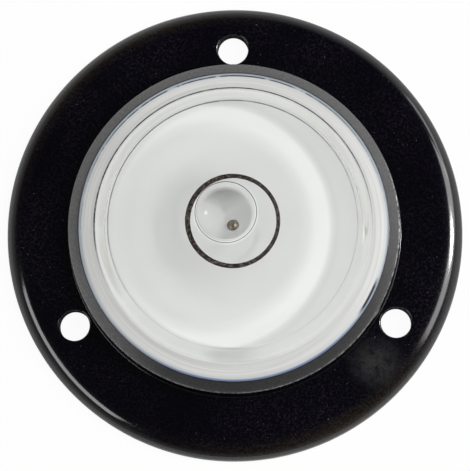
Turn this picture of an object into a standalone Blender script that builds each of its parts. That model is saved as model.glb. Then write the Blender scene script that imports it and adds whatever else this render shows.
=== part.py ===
"""Flange-mounted bullseye level, 60 mm across, lying flat on its mounting face.

The mounting face is the plane z = 0, the level's axis is +Z, and one screw hole lies towards +Y.
A black housing holds a round vial: a white cup, a clear domed lens that is bonded into it, the
target ring on the lens, the spirit with its bubble, and the ball that closes the filling hole.
"""

import math

import bpy
from mathutils import Matrix, Vector

MM = 0.001

# Facets round the turned pieces and round the small holes
TURN_STEPS = 64
HOLE_STEPS = 28
RIM_STEPS = 6
EDGE_STEPS = 3
LENS_EDGE_STEPS = 5
DOME_STEPS = 6

# Clearances, and the narrowest band that is worth an edge of its own
SEAT_GAP = 0.3 * MM
INK_GAP = 0.1 * MM
SMALLEST_LAND = 0.01 * MM

# Vial: its outer size drives the housing's bore
VIAL_DIAMETER = 39.7 * MM
RIM_SINK = 0.2 * MM
RIM_WIDTH = 1.65 * MM
RIM_EDGE_ROUND = 0.3 * MM
LENS_RISE = 6.0 * MM
LENS_CROWN = 3.3 * MM
LENS_EDGE_ROUND = 1.9 * MM
LENS_CENTRE_THICKNESS = 1.8 * MM
LENS_WALL = 1.7 * MM
UNDERSIDE_CROWN = 3.4 * MM
CAVITY_CORNER_ROUND = 0.4 * MM
CAVITY_DEPTH = 5.4 * MM

# Housing: a flange with three screw holes and a raised boss round the vial
BOSS_HEIGHT = 8.4 * MM
BOSS_CHAMFER = 1.5 * MM
BOSS_DRAFT = 0.3 * MM
BOSS_FILLET = 0.2 * MM
FLANGE_WIDTH = 7.85 * MM
FLANGE_THICKNESS = 3.0 * MM
FLANGE_RIM_ROUND = 2.8 * MM
FOOT_CHAMFER = 0.2 * MM
LEDGE_HEIGHT = 2.0 * MM
LEDGE_WIDTH = 2.15 * MM
HOLE_COUNT = 3
HOLE_DIAMETER = 4.0 * MM
HOLE_EDGE_ROUND = 0.2 * MM
HOLE_TO_BOSS = 0.05 * MM
FIRST_HOLE_ANGLE = math.radians(90)

# Target ring, inlaid in the top of the lens
RING_OUTER_DIAMETER = 12.1 * MM
RING_LINE_WIDTH = 0.5 * MM
RING_DEPTH = 0.2 * MM

# White cup: its rim stands round the lens, and a wide foot ring under it rests on the housing's ledge
BASE_FLOOR_THICKNESS = 2.7 * MM
BASE_RING_WIDTH = 6.85 * MM
FILLER_HOLE_DIAMETER = 1.0 * MM

# Ball that closes the filling hole
BALL_DIAMETER = 1.4 * MM
BALL_PROUD = 0.6 * MM
BALL_SEGMENTS = 16

# Bubble, resting off the centre under the lens
BUBBLE_DIAMETER = 8.2 * MM
BUBBLE_DEPTH = 1.9 * MM
BUBBLE_OFFSET = Vector((-0.9 * MM, 1.05 * MM))
BUBBLE_SEGMENTS = 28

# Radii and heights that several pieces share
VIAL_RADIUS = VIAL_DIAMETER / 2
LENS_RADIUS = VIAL_RADIUS - RIM_WIDTH - SEAT_GAP
CAVITY_RADIUS = LENS_RADIUS - LENS_WALL
BORE_RADIUS = VIAL_RADIUS + SEAT_GAP
BOSS_FOOT_RADIUS = BORE_RADIUS + BOSS_CHAMFER + BOSS_DRAFT
FLANGE_RADIUS = BOSS_FOOT_RADIUS + BOSS_FILLET + FLANGE_WIDTH
HOLE_CIRCLE_RADIUS = BOSS_FOOT_RADIUS + BOSS_FILLET + HOLE_TO_BOSS
HOLE_CIRCLE_RADIUS += HOLE_EDGE_ROUND + HOLE_DIAMETER / 2
RING_OUTER_RADIUS = RING_OUTER_DIAMETER / 2
RING_INNER_RADIUS = RING_OUTER_RADIUS - RING_LINE_WIDTH
BALL_RADIUS = BALL_DIAMETER / 2
RIM_HEIGHT = BOSS_HEIGHT - RIM_SINK
LENS_HEIGHT = RIM_HEIGHT + LENS_RISE
UNDERSIDE_APEX_HEIGHT = LENS_HEIGHT - LENS_CENTRE_THICKNESS
BASE_TOP_HEIGHT = UNDERSIDE_APEX_HEIGHT - CAVITY_DEPTH
BASE_BOTTOM_HEIGHT = LEDGE_HEIGHT + SEAT_GAP
BALL_HEIGHT = BASE_TOP_HEIGHT + BALL_PROUD - BALL_RADIUS
LENS_DOME_RADIUS = (LENS_RADIUS**2 + LENS_CROWN**2) / (2 * LENS_CROWN)
LENS_UNDERSIDE_RADIUS = (CAVITY_RADIUS**2 + UNDERSIDE_CROWN**2) / (2 * UNDERSIDE_CROWN)


def clear_scene():
    for obj in list(bpy.data.objects):
        bpy.data.objects.remove(obj, do_unlink=True)


def new_collection(name):
    collection = bpy.data.collections.new(name)
    bpy.context.scene.collection.children.link(collection)
    return collection


def principled(name, colour, roughness, metallic=0.0, transmission=0.0, ior=1.5):
    material = bpy.data.materials.new(name)
    material.use_nodes = True
    shader = material.node_tree.nodes["Principled BSDF"]
    shader.inputs["Base Color"].default_value = (*colour, 1.0)
    shader.inputs["Roughness"].default_value = roughness
    shader.inputs["Metallic"].default_value = metallic
    shader.inputs["Transmission Weight"].default_value = transmission
    shader.inputs["IOR"].default_value = ior
    material.diffuse_color = (*colour, 1.0)
    return material


def arc(centre, radius, start_degrees, end_degrees, steps=EDGE_STEPS):
    """Points (r, z) along a circle in the profile's plane, both ends included."""
    points = []
    for step in range(steps + 1):
        angle = math.radians(start_degrees + (end_degrees - start_degrees) * step / steps)
        points.append((centre[0] + radius * math.cos(angle), centre[1] + radius * math.sin(angle)))
    return points


def dome_z(r, apex_height, radius):
    """Height at the distance r from the axis of a dome that tops out at apex_height."""
    return apex_height - radius + math.sqrt(radius**2 - r**2)


def dome(start_r, end_r, apex_height, radius, steps=DOME_STEPS):
    """Points (r, z) along a dome's meridian, evenly spaced in r, both ends included."""
    points = []
    for step in range(steps + 1):
        r = start_r + (end_r - start_r) * step / steps
        points.append((r, dome_z(r, apex_height, radius)))
    return points


def turned(name, profile, material, collection, closed, steps=TURN_STEPS):
    """Turns a profile about Z. It runs down its outer side, and closes on itself or on the axis."""
    mesh = bpy.data.meshes.new(name)
    edges = [(i, i + 1) for i in range(len(profile) - 1)]
    if closed:
        edges.append((len(profile) - 1, 0))
    mesh.from_pydata([(r, 0.0, z) for r, z in profile], edges, [])
    obj = bpy.data.objects.new(name, mesh)
    collection.objects.link(obj)
    mesh.materials.append(material)
    screw = obj.modifiers.new("turn", "SCREW")
    screw.axis = "Z"
    screw.angle = math.tau
    screw.steps = steps
    screw.render_steps = steps
    screw.use_merge_vertices = True
    screw.merge_threshold = 0.00001
    return obj


def as_cutter(obj):
    obj.hide_render = True
    obj.display_type = "WIRE"
    return obj


def cut(obj, cutter):
    boolean = obj.modifiers.new("cut " + cutter.name, "BOOLEAN")
    boolean.operation = "DIFFERENCE"
    boolean.solver = "EXACT"
    boolean.object = cutter


def settle(obj):
    """Bakes the modifiers, so that edges sharper than 30 degrees can be marked on the real faces."""
    graph = bpy.context.evaluated_depsgraph_get()
    mesh = bpy.data.meshes.new_from_object(obj.evaluated_get(graph))
    obj.modifiers.clear()
    obj.data = mesh
    mesh.name = obj.name
    mesh.shade_smooth()
    mesh.set_sharp_from_angle(angle=math.radians(30))


def housing_profile():
    """Boss chamfer, drafted boss wall, flange top, rounded rim, mounting face, ledge and bore."""
    fillet = (BOSS_FOOT_RADIUS + BOSS_FILLET, FLANGE_THICKNESS + BOSS_FILLET)
    rim_round = min(FLANGE_RIM_ROUND, FLANGE_THICKNESS - FOOT_CHAMFER)
    rim = (FLANGE_RADIUS - rim_round, FLANGE_THICKNESS - rim_round)
    profile = [(BORE_RADIUS, BOSS_HEIGHT), (BORE_RADIUS + BOSS_CHAMFER, BOSS_HEIGHT - BOSS_CHAMFER)]
    profile += arc(fillet, BOSS_FILLET, 180, 270, 2)
    profile += arc(rim, rim_round, 90, 0, RIM_STEPS)
    if rim[1] > FOOT_CHAMFER + SMALLEST_LAND:
        profile.append((FLANGE_RADIUS, FOOT_CHAMFER))
    profile += [
        (FLANGE_RADIUS - FOOT_CHAMFER, 0.0),
        (BORE_RADIUS - LEDGE_WIDTH, 0.0),
        (BORE_RADIUS - LEDGE_WIDTH, LEDGE_HEIGHT),
        (BORE_RADIUS, LEDGE_HEIGHT),
    ]
    return profile


def hole_cutter(index, collection, material):
    """A spool that flares at both faces, so that the hole's edges come out rounded.

    It is turned by a quarter of a facet, so that none of its corners lies on an edge of the flange.
    """
    rounding_r = HOLE_DIAMETER / 2 + HOLE_EDGE_ROUND
    past = 2 * HOLE_EDGE_ROUND
    upper = arc((rounding_r, FLANGE_THICKNESS - HOLE_EDGE_ROUND), HOLE_EDGE_ROUND, 105, 180, 2)
    lower = arc((rounding_r, HOLE_EDGE_ROUND), HOLE_EDGE_ROUND, 180, 255, 2)
    wide_r = upper[0][0]
    profile = [(0.0, FLANGE_THICKNESS + past), (wide_r, FLANGE_THICKNESS + past)]
    profile += upper + lower
    profile += [(wide_r, -past), (0.0, -past)]
    cutter = turned(f"hole_cutter_{index + 1}", profile, material, collection, False, HOLE_STEPS)
    angle = FIRST_HOLE_ANGLE + math.tau * index / HOLE_COUNT
    cutter.location = (HOLE_CIRCLE_RADIUS * math.cos(angle), HOLE_CIRCLE_RADIUS * math.sin(angle), 0.0)
    cutter.rotation_euler.z = angle + math.tau / HOLE_STEPS / 4
    return as_cutter(cutter)


def make_housing(parts, cutters, material):
    housing = turned("mounting_flange", housing_profile(), material, parts, True)
    for index in range(HOLE_COUNT):
        cut(housing, hole_cutter(index, cutters, material))
    return housing


def groove_profile():
    """The groove for the target ring, walked outwards across the lens's top."""
    inner = RING_INNER_RADIUS - INK_GAP
    outer = RING_OUTER_RADIUS + INK_GAP
    floor_apex = LENS_HEIGHT - RING_DEPTH - INK_GAP
    floor_radius = LENS_DOME_RADIUS - RING_DEPTH - INK_GAP
    return [
        (inner, dome_z(inner, floor_apex, floor_radius)),
        (outer, dome_z(outer, floor_apex, floor_radius)),
    ]


def rounded_dome_edge(apex_height, dome_radius, wall_radius, edge_round):
    """A fillet inside a wall that meets a dome: its centre, and the dome's slope where they meet."""
    centre_r = wall_radius - edge_round
    centre_z = dome_z(centre_r, apex_height - edge_round, dome_radius - edge_round)
    slope = math.degrees(math.asin(centre_r / (dome_radius - edge_round)))
    return (centre_r, centre_z), slope


def underside_profile(offset):
    """The lens's underside from the cavity wall to the axis, or a surface at this offset under it."""
    apex = UNDERSIDE_APEX_HEIGHT - offset
    radius = LENS_UNDERSIDE_RADIUS - offset
    wall = CAVITY_RADIUS - offset
    corner, slope = rounded_dome_edge(apex, radius, wall, CAVITY_CORNER_ROUND)
    points = arc(corner, CAVITY_CORNER_ROUND, 0, 90 - slope, 2)
    return points[:-1] + dome(points[-1][0], 0.0, apex, radius)


def lens_profile():
    """Dome with its groove, rounded edge, outer wall, cavity wall and concave underside."""
    groove = groove_profile()
    edge, slope = rounded_dome_edge(LENS_HEIGHT, LENS_DOME_RADIUS, LENS_RADIUS, LENS_EDGE_ROUND)
    rounding = arc(edge, LENS_EDGE_ROUND, 90 - slope, 0, LENS_EDGE_STEPS)
    profile = dome(0.0, groove[0][0], LENS_HEIGHT, LENS_DOME_RADIUS, 2)
    profile += groove
    profile += dome(groove[1][0], rounding[0][0], LENS_HEIGHT, LENS_DOME_RADIUS)[:-1]
    profile += rounding
    profile += [
        (LENS_RADIUS, BASE_TOP_HEIGHT + SEAT_GAP),
        (CAVITY_RADIUS, BASE_TOP_HEIGHT + SEAT_GAP),
    ]
    return profile + underside_profile(0.0)


def target_ring_profile():
    """A thin band between two domes, as wide as the line."""
    under_apex = LENS_HEIGHT - RING_DEPTH
    under_radius = LENS_DOME_RADIUS - RING_DEPTH
    top = [(r, dome_z(r, LENS_HEIGHT, LENS_DOME_RADIUS)) for r in (RING_INNER_RADIUS, RING_OUTER_RADIUS)]
    under = [(r, dome_z(r, under_apex, under_radius)) for r in (RING_OUTER_RADIUS, RING_INNER_RADIUS)]
    return top + under


def ball_clearance(start_degrees, end_degrees):
    return arc((0.0, BALL_HEIGHT), BALL_RADIUS + SEAT_GAP, start_degrees, end_degrees)


def base_profile():
    """Floor under the spirit, rim round the lens, outer wall, foot, recess, filling hole, ball seat."""
    hole_r = FILLER_HOLE_DIAMETER / 2
    seat_end = -math.degrees(math.acos(hole_r / (BALL_RADIUS + SEAT_GAP)))
    recess_r = VIAL_RADIUS - BASE_RING_WIDTH
    recess_z = BASE_TOP_HEIGHT - BASE_FLOOR_THICKNESS
    rim_edge = (VIAL_RADIUS - RIM_EDGE_ROUND, RIM_HEIGHT - RIM_EDGE_ROUND)
    profile = [(LENS_RADIUS + SEAT_GAP, BASE_TOP_HEIGHT), (LENS_RADIUS + SEAT_GAP, RIM_HEIGHT)]
    profile += arc(rim_edge, RIM_EDGE_ROUND, 90, 0, 2)
    profile += [
        (VIAL_RADIUS, BASE_BOTTOM_HEIGHT),
        (recess_r, BASE_BOTTOM_HEIGHT),
        (recess_r, recess_z),
        (hole_r, recess_z),
    ]
    profile += ball_clearance(seat_end, 0)
    profile.append((BALL_RADIUS + SEAT_GAP, BASE_TOP_HEIGHT))
    return profile


def spirit_profile():
    """Top at a clearance under the lens, the cavity's wall, and a floor that steps over the ball."""
    top = list(reversed(underside_profile(SEAT_GAP)))
    floor_z = BASE_TOP_HEIGHT + SEAT_GAP
    meets = math.degrees(math.asin((floor_z - BALL_HEIGHT) / (BALL_RADIUS + SEAT_GAP)))
    return top + [(CAVITY_RADIUS - SEAT_GAP, floor_z)] + ball_clearance(meets, 90)


def bubble_cutter(collection, material):
    """A flattened ball, half of it above the spirit's top, so that it leaves an open pocket."""
    rings = BUBBLE_SEGMENTS // 2
    bpy.ops.mesh.primitive_uv_sphere_add(segments=BUBBLE_SEGMENTS, ring_count=rings, radius=1.0)
    cutter = bpy.context.object
    cutter.name = "bubble_cutter"
    cutter.data.name = "bubble_cutter"
    for linked in list(cutter.users_collection):
        linked.objects.unlink(cutter)
    collection.objects.link(cutter)
    cutter.data.materials.append(material)
    spirit_radius = LENS_UNDERSIDE_RADIUS - SEAT_GAP
    dome_centre = Vector((0.0, 0.0, UNDERSIDE_APEX_HEIGHT - LENS_UNDERSIDE_RADIUS))
    away = Vector((BUBBLE_OFFSET.x, BUBBLE_OFFSET.y, 0.0))
    up = Vector((away.x, away.y, math.sqrt(spirit_radius**2 - away.length_squared))).normalized()
    size = Matrix.Diagonal((BUBBLE_DIAMETER / 2, BUBBLE_DIAMETER / 2, BUBBLE_DEPTH, 1.0))
    cutter.data.transform(size)
    cutter.location = dome_centre + up * spirit_radius
    cutter.rotation_mode = "QUATERNION"
    cutter.rotation_quaternion = up.to_track_quat("Z", "Y")
    return as_cutter(cutter)


def make_ball(collection, material):
    bpy.ops.mesh.primitive_uv_sphere_add(
        segments=BALL_SEGMENTS,
        ring_count=BALL_SEGMENTS // 2,
        radius=BALL_RADIUS,
        location=(0.0, 0.0, BALL_HEIGHT),
    )
    ball = bpy.context.object
    ball.name = "filler_ball"
    ball.data.name = "filler_ball"
    for linked in list(ball.users_collection):
        linked.objects.unlink(ball)
    collection.objects.link(ball)
    ball.data.materials.append(material)
    return ball


clear_scene()
level_parts = new_collection("bullseye_level")
level_cutters = new_collection("cutters")

black_paint = principled("black_paint", (0.006, 0.006, 0.007), 0.15)
clear_acrylic = principled("clear_acrylic", (1.0, 1.0, 1.0), 0.02, transmission=1.0, ior=1.49)
white_plastic = principled("white_plastic", (0.80, 0.81, 0.80), 0.45)
clear_spirit = principled("clear_spirit", (0.97, 1.0, 0.99), 0.0, transmission=1.0, ior=1.36)
black_ink = principled("black_ink", (0.012, 0.010, 0.009), 0.5)
plated_steel = principled("plated_steel", (0.55, 0.50, 0.38), 0.25, metallic=1.0)

mounting_flange = make_housing(level_parts, level_cutters, black_paint)
vial_base = turned("vial_base", base_profile(), white_plastic, level_parts, True)
vial_lens = turned("vial_lens", lens_profile(), clear_acrylic, level_parts, False)
target_ring = turned("target_ring", target_ring_profile(), black_ink, level_parts, True)
vial_spirit = turned("vial_spirit", spirit_profile(), clear_spirit, level_parts, False)
cut(vial_spirit, bubble_cutter(level_cutters, clear_spirit))
filler_ball = make_ball(level_parts, plated_steel)

level_frame = bpy.data.objects.new("level_frame", None)
level_parts.objects.link(level_frame)
bpy.context.view_layer.update()
for piece in (mounting_flange, vial_base, vial_lens, target_ring, vial_spirit, filler_ball):
    settle(piece)
    piece.parent = level_frame
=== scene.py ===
# %% [markdown]
# # A bullseye level
# This level is a black painted housing, 60 mm across, with a vial bonded into it: a white cup, a clear
# domed lens, and between them a clear spirit with its bubble. Three screws hold it on a machine.
# The CAD model of it is loaded first and stays as it is. It could be shown with new materials alone,
# but its pieces have 64 facets round, and glass and gloss paint show every corner. So each piece is
# made again here, on the same sizes and in the same place, with facets too fine to see.

# %% Load the CAD model and keep its box
import math
from collections import Counter

import bmesh
import bpy
from mathutils import Matrix, Vector
from mathutils import noise as smooth_noise


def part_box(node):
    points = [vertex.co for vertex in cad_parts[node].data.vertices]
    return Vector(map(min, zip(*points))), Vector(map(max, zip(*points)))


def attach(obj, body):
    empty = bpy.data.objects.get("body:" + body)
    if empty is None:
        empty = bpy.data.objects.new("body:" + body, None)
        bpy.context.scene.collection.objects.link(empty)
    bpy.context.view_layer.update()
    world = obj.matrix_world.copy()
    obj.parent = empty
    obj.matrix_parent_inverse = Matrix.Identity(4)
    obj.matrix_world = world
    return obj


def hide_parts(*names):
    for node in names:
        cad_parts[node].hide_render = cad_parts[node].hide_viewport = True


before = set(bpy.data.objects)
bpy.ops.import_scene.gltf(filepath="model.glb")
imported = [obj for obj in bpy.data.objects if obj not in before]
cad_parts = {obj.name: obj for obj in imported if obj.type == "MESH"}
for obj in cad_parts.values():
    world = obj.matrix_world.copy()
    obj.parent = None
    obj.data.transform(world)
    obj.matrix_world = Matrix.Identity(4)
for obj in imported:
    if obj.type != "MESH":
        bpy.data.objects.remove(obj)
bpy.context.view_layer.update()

MM = 0.001
for node in sorted(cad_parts):
    low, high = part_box(node)
    print(node, "from", [round(v / MM, 2) for v in low], "to", [round(v / MM, 2) for v in high])

# %% [markdown]
# ## The sizes that the pieces share
# All are in millimetres. The level's axis is Z, and z = 0 is the face that it stands on. The lens is a
# dome of a large radius whose edge is rounded off into an upright wall. Under it lies a second, hollow
# dome, the ceiling of the spirit.

# %% Name the shared sizes
BORE_RADIUS = 20.15
FLANGE_THICKNESS = 3.0
LENS_RADIUS = 17.9
LENS_TOP = 14.2
LENS_CROWN = 3.3
CAVITY_RADIUS = 16.2
CEILING_TOP = 12.4
CEILING_CROWN = 3.4
FLOOR_HEIGHT = 7.0

DOME_RADIUS = (LENS_RADIUS**2 + LENS_CROWN**2) / (2 * LENS_CROWN)
CEILING_RADIUS = (CAVITY_RADIUS**2 + CEILING_CROWN**2) / (2 * CEILING_CROWN)


def dome_height(r, top, radius):
    """Height at the distance r from the axis of a dome that tops out at top."""
    return top - radius + math.sqrt(radius**2 - r**2)


print("dome radius", round(DOME_RADIUS, 2), "ceiling radius", round(CEILING_RADIUS, 2))

# %% [markdown]
# ## Turning a piece
# Nearly every piece of this level is turned or moulded round one axis. A cylinder that is scaled and
# cut could come close, but an outline that is spun round the axis says it in one step, the way a lathe
# does. A few vertices give the outline's corners, a vertex bevel rounds those that are round, and spin
# sweeps it through a full turn. The outline's arcs are long, so they are given as points along a circle.

# %% Lay out an outline's round stretches
def arc(centre_r, centre_z, radius, start, end, steps):
    """Points along part of a circle in the outline's plane, from one angle in degrees to another."""
    angles = [math.radians(start + (end - start) * step / steps) for step in range(steps + 1)]
    return [(centre_r + radius * math.cos(a), centre_z + radius * math.sin(a)) for a in angles]


def dome(start_r, end_r, top, radius, steps):
    """Points along a dome, evenly spaced from one distance from the axis to another."""
    distances = [start_r + (end_r - start_r) * step / steps for step in range(steps + 1)]
    return [(r, dome_height(r, top, radius)) for r in distances]


print("arc and dome ready")

# %% Spin an outline into a piece
ROUND_STEPS = 256
BEVEL_SEGMENTS = 5
MERGE_WITHIN = 0.0001


def spin_outline(maker, outline, closed, steps=ROUND_STEPS, centre=(0.0, 0.0)):
    """Adds the outline's corners, rounds those that carry a third number, and spins the whole."""
    x, y = centre[0] * MM, centre[1] * MM
    points = [maker.verts.new((x + p[0] * MM, y, p[1] * MM)) for p in outline]
    ends = points[1:] + points[:1] if closed else points[1:]
    for pair in zip(points, ends):
        maker.edges.new(pair)
    before = set(maker.verts) - set(points)
    for point, corner in zip(points, outline):
        if len(corner) > 2:
            bmesh.ops.bevel(maker, geom=[point], offset=corner[2] * MM, offset_type="OFFSET",
                            segments=BEVEL_SEGMENTS, profile=0.5, affect="VERTICES", material=-1)
    fresh = [v for v in maker.verts if v not in before]
    edges = list(dict.fromkeys(edge for v in fresh for edge in v.link_edges))
    bmesh.ops.spin(maker, geom=fresh + edges, cent=(x, y, 0.0), axis=(0.0, 0.0, 1.0),
                   angle=math.tau, steps=steps, use_merge=True)


def to_mesh(maker, name):
    """Merges doubles, turns the faces outwards, and gives back the mesh."""
    bmesh.ops.remove_doubles(maker, verts=maker.verts, dist=MERGE_WITHIN * MM)
    bmesh.ops.recalc_face_normals(maker, faces=maker.faces)
    mesh = bpy.data.meshes.new(name)
    maker.to_mesh(mesh)
    maker.free()
    return mesh


print("a full turn takes", ROUND_STEPS, "steps")

# %% Put a piece in the scene in place of a CAD node
def add_piece(mesh, name, materials, node, sharp=35.0):
    """Puts the mesh in the scene in place of a CAD node, with its corners marked sharp."""
    piece = bpy.data.objects.new(name, mesh)
    bpy.context.scene.collection.objects.link(piece)
    for material in materials:
        mesh.materials.append(material)
    mesh.shade_smooth()
    mesh.set_sharp_from_angle(angle=math.radians(sharp))
    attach(piece, "root")
    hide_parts(node)
    faces_at_edge = Counter(loop.edge_index for loop in mesh.loops)
    open_edges = len(mesh.edges) - list(faces_at_edge.values()).count(2)
    print(name, len(mesh.polygons), "faces,", open_edges, "open edges")
    return piece


print("piece helper ready")

# %% [markdown]
# ## Node helpers
# The finishes below are trees of shader nodes. Most of them need the distance from the axis and the
# direction round it, because the marks on this level run round it. Object coordinates give both, and
# stay with the piece from every side. The direction is a turn from 0 to 1: it starts at the left, and
# is 0.25 at the front, 0.5 at the right and 0.75 at the back. A ramp of stops then turns a distance or
# a direction into a tone. A list of stops whose name ends in BY_TURN goes once round the level.

# %% Start a finish, and do sums in it
def new_finish(name, colour, roughness, metallic=0.0, ior=1.5):
    """A Principled material. Plain numbers stay on the shader's own sockets."""
    finish = bpy.data.materials.new(name)
    finish.use_nodes = True
    shader = finish.node_tree.nodes["Principled BSDF"]
    shader.inputs["Base Color"].default_value = (*colour, 1.0)
    shader.inputs["Roughness"].default_value = roughness
    shader.inputs["Metallic"].default_value = metallic
    shader.inputs["IOR"].default_value = ior
    finish.diffuse_color = (*colour, 1.0)
    return finish, finish.node_tree, shader


def math_node(tree, operation, first, second=None):
    """One sum on one or two inputs, each of them a socket or a number."""
    node = tree.nodes.new("ShaderNodeMath")
    node.operation = operation
    for socket, value in zip(node.inputs, (first, second)):
        if isinstance(value, (int, float)):
            socket.default_value = value
        elif value is not None:
            tree.links.new(value, socket)
    return node.outputs["Value"]


def times(tree, first, *others):
    """Multiplies any number of sockets, from the first on."""
    for other in others:
        first = math_node(tree, "MULTIPLY", first, other)
    return first


print("sums ready")

# %% Measure round the axis, and lay noise
def place(tree, offset=(0.0, 0.0, 0.0)):
    """Object coordinates in millimetres, measured from an offset."""
    coordinates = tree.nodes.new("ShaderNodeTexCoord")
    mapping = tree.nodes.new("ShaderNodeMapping")
    mapping.inputs["Location"].default_value = [-v for v in offset]
    mapping.inputs["Scale"].default_value = (1.0 / MM,) * 3
    tree.links.new(coordinates.outputs["Object"], mapping.inputs["Vector"])
    return mapping.outputs["Vector"]


def full_turn(tree, y, x):
    """The direction of a point as a turn from 0 to 1 that starts at -X."""
    angle = math_node(tree, "ARCTAN2", y, x)
    return math_node(tree, "ADD", math_node(tree, "DIVIDE", angle, math.tau), 0.5)


def round_axis(tree, offset=(0.0, 0.0, 0.0)):
    """Distance from the axis in mm, height in mm, and the turn."""
    parts = tree.nodes.new("ShaderNodeSeparateXYZ")
    tree.links.new(place(tree, offset), parts.inputs[0])
    x, y, z = parts.outputs
    squares = math_node(tree, "ADD", times(tree, x, x), times(tree, y, y))
    return math_node(tree, "SQRT", squares), z, full_turn(tree, y, x)


def noise(tree, vector, scale, detail=2.0, roughness=0.5):
    """Cloudy noise between 0 and 1. The scale is in waves to a millimetre."""
    node = tree.nodes.new("ShaderNodeTexNoise")
    node.inputs["Scale"].default_value = scale
    node.inputs["Detail"].default_value = detail
    node.inputs["Roughness"].default_value = roughness
    tree.links.new(vector, node.inputs["Vector"])
    return node.outputs["Fac"]


print("distance, turn and noise ready")

# %% Turn values into tones, and mix them
def ramp(tree, value, stops, low=0.0, high=1.0, interpolation="LINEAR"):
    """Turns a value between low and high into the colour or grey of the nearest stops."""
    scaled = tree.nodes.new("ShaderNodeMapRange")
    scaled.inputs["From Min"].default_value = low
    scaled.inputs["From Max"].default_value = high
    tree.links.new(value, scaled.inputs["Value"])
    node = tree.nodes.new("ShaderNodeValToRGB")
    node.color_ramp.interpolation = interpolation
    tree.links.new(scaled.outputs["Result"], node.inputs["Fac"])
    elements = node.color_ramp.elements
    for index, (position, tone) in enumerate(stops):
        at = (position - low) / (high - low)
        element = elements[index] if index < 2 else elements.new(at)
        element.position = at
        element.color = (*tone, 1.0) if isinstance(tone, tuple) else (tone, tone, tone, 1.0)
    return node.outputs["Color"]


def band(start, full, until, end):
    """Stops of a band with soft edges: 1 inside it and 0 on both sides."""
    return [(start, 0.0), (full, 1.0), (until, 1.0), (end, 0.0)]


def blend(tree, factor, first, second, mode="MIX"):
    """Mixes two colours, each of them a socket or a colour."""
    node = tree.nodes.new("ShaderNodeMix")
    node.data_type = "RGBA"
    node.blend_type = mode
    for socket, value in ((node.inputs[0], factor), (node.inputs[6], first), (node.inputs[7], second)):
        if isinstance(value, (int, float)):
            socket.default_value = value
        elif isinstance(value, tuple):
            socket.default_value = (*value, 1.0)
        else:
            tree.links.new(value, socket)
    return node.outputs[2]


def tinted(tree, first, second):
    """Multiplies two colours, each of them a socket or a colour."""
    return blend(tree, 1.0, first, second, "MULTIPLY")


def bump(tree, shader, height, strength, distance):
    """Presses a height pattern into the surface. The distance is its depth in mm."""
    node = tree.nodes.new("ShaderNodeBump")
    node.inputs["Strength"].default_value = strength
    node.inputs["Distance"].default_value = distance * MM
    tree.links.new(height, node.inputs["Height"])
    tree.links.new(node.outputs["Normal"], shader.inputs["Normal"])


print("tones ready")

# %% [markdown]
# ## The black paint
# The housing is sprayed with gloss black over turned metal. Paint like this is nearly black with a
# touch of violet, with a sharp reflection that is a little uneven where the coat has drawn up into a
# fine orange peel. One flat colour would look like plastic, so a wide noise gives the peel, and fine
# noises give the grain and the pale specks of dust.

# %% Mix the black paint, with its grain and its specks
PAINT_DARK = (0.0005, 0.0003, 0.002)
PAINT_PALE = (0.0088, 0.007, 0.0118)
SPECK = (0.05, 0.046, 0.043)

black_paint, tree, shader = new_finish("black_gloss_paint", (0.0016, 0.0013, 0.0034), 0.1, ior=1.58)
here = place(tree)
distance, height, turn = round_axis(tree)
peel = noise(tree, here, 0.9)
cloud = noise(tree, here, 0.1, 3.0)
grain = noise(tree, here, 3.4, 2.0, 0.6)
fine_dust = noise(tree, here, 2.6)
grainy = times(tree, ramp(tree, grain, [(0.47, 0.0), (0.66, 1.0)]),
               ramp(tree, cloud, [(0.36, 0.25), (0.62, 1.0)]))
paint = blend(tree, grainy, PAINT_DARK, PAINT_PALE)
patches = ramp(tree, cloud, [(0.42, 0.0), (0.66, 0.045)])
specks = ramp(tree, math_node(tree, "ADD", fine_dust, patches), [(0.74, 0.0), (0.78, 1.0)])
paint = blend(tree, specks, paint, SPECK)
bump(tree, shader, peel, 0.1, 0.02)
tree.links.new(ramp(tree, cloud, [(0.3, 0.09), (0.7, 0.15)]), shader.inputs["Roughness"])
print(black_paint.name, len(tree.nodes), "nodes")

# %% [markdown]
# ## Wear and painted light on the paint
# Brown dust lies on the rounded rim, and a thumb has left a grey smudge on one side. The boss's chamfer
# is given a dull dark grey that is a painted reflection of the room, palest on the left and darkest at
# the front. The corner at its foot is worn to a pale grey along the front, and on the right it is
# brightest, with a painted highlight of the lamp. These could be pictures laid on the piece, but each
# has a plain place round the axis. So each is a mask from the distance, the height and the turn,
# broken up by noise.

# %% Add the dust, the smudge, the chamfer's painted reflection and the corner's wear and highlight
RIM_DUST = (0.02, 0.015, 0.01)
RIM_DUST_BY_TURN = [
    (0.0, 0.0), (0.2, 0.2), (0.33, 0.9), (0.4, 0.5), (0.47, 0.0), (0.7, 0.0), (0.8, 0.8), (0.9, 0.7),
    (1.0, 0.0)
]
SMUDGE = (0.027, 0.026, 0.027)
SMUDGE_SPOT = (18.3, -17.4, 3.0)
# Painted reflection: the chamfer's grey by turn stands for the room mirrored in it
CHAMFER_REFLECTION_BY_TURN = [
    (0.0, 0.078), (0.06, 0.105), (0.12, 0.085), (0.18, 0.028), (0.25, 0.024), (0.38, 0.028),
    (0.44, 0.038), (0.52, 0.062), (0.6, 0.064), (0.75, 0.054), (0.86, 0.07), (1.0, 0.078)
]
# Real wear to a pale grey along the front, and on the right a painted highlight of the lamp
WORN_AND_HIGHLIGHT = (0.42, 0.42, 0.42)
WORN_AND_HIGHLIGHT_BY_TURN = [
    (0.0, 0.1), (0.05, 0.26), (0.44, 0.33), (0.48, 1.0), (0.53, 1.0), (0.57, 0.05), (1.0, 0.1)
]

dusty = times(tree, ramp(tree, distance, [(27.4, 0.0), (28.8, 1.0)], 26.0, 30.0),
              ramp(tree, turn, RIM_DUST_BY_TURN),
              ramp(tree, grain, [(0.38, 0.3), (0.6, 1.0)]))
paint = blend(tree, dusty, paint, RIM_DUST)

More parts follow.
